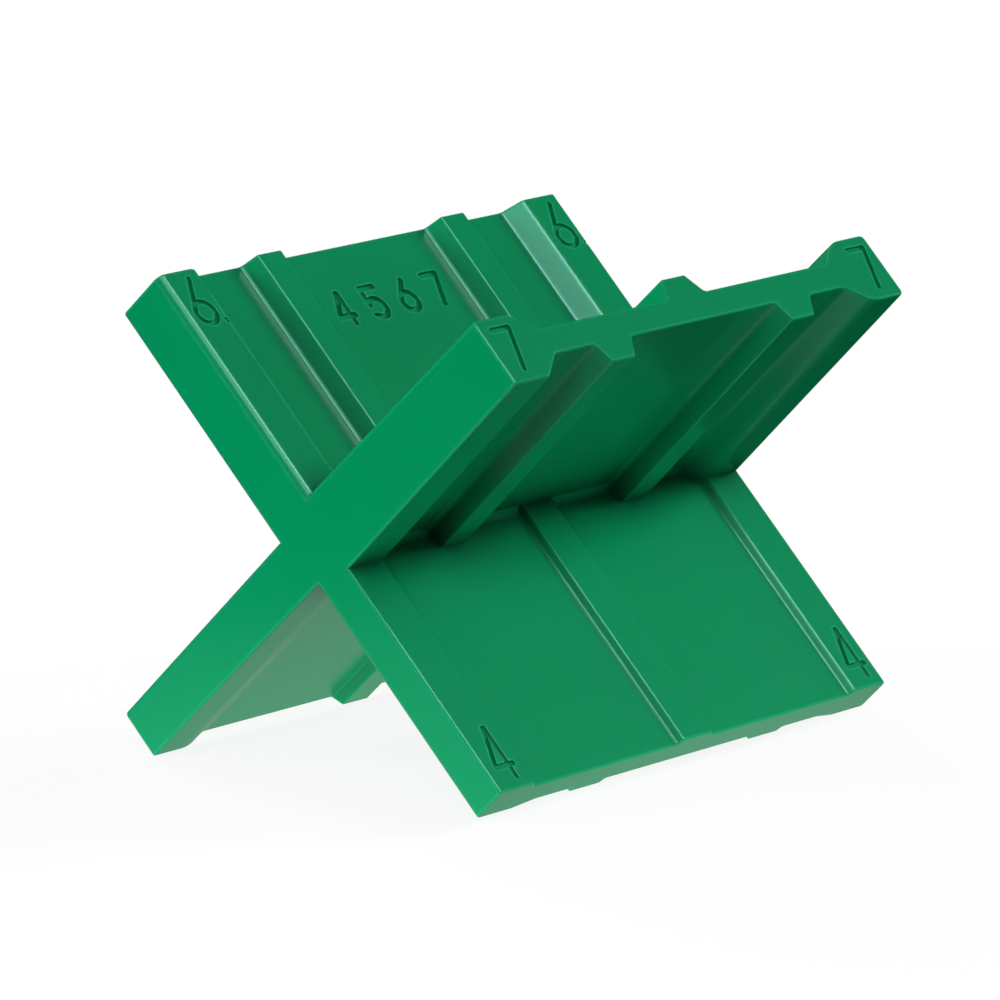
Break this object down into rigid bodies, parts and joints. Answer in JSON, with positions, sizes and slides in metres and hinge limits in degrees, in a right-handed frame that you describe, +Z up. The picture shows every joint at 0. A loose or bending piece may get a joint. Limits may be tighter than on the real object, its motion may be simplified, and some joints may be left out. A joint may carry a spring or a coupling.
{
  "type": "tile spacer",
  "caption": "Cross-shaped joint spacer whose arms are gauges of different thickness, with end blocks, thin webs and ribs.",
  "frame": {"origin": "middle of the footprint, on the surface that the two lower arms stand on", "axes": "+Z up, +Y along the depth away from the numbered near end, +X to the side of the 4 and 7 arms; the arms stand at 45 degrees to X and Z"},
  "size_m": [0.0454, 0.058, 0.0451],
  "materials": {
    "green_plastic": "smooth glossy moulded plastic"
  },
  "bodies": {
    "root": {"spacer": "green_plastic"}
  },
  "joints": []
}
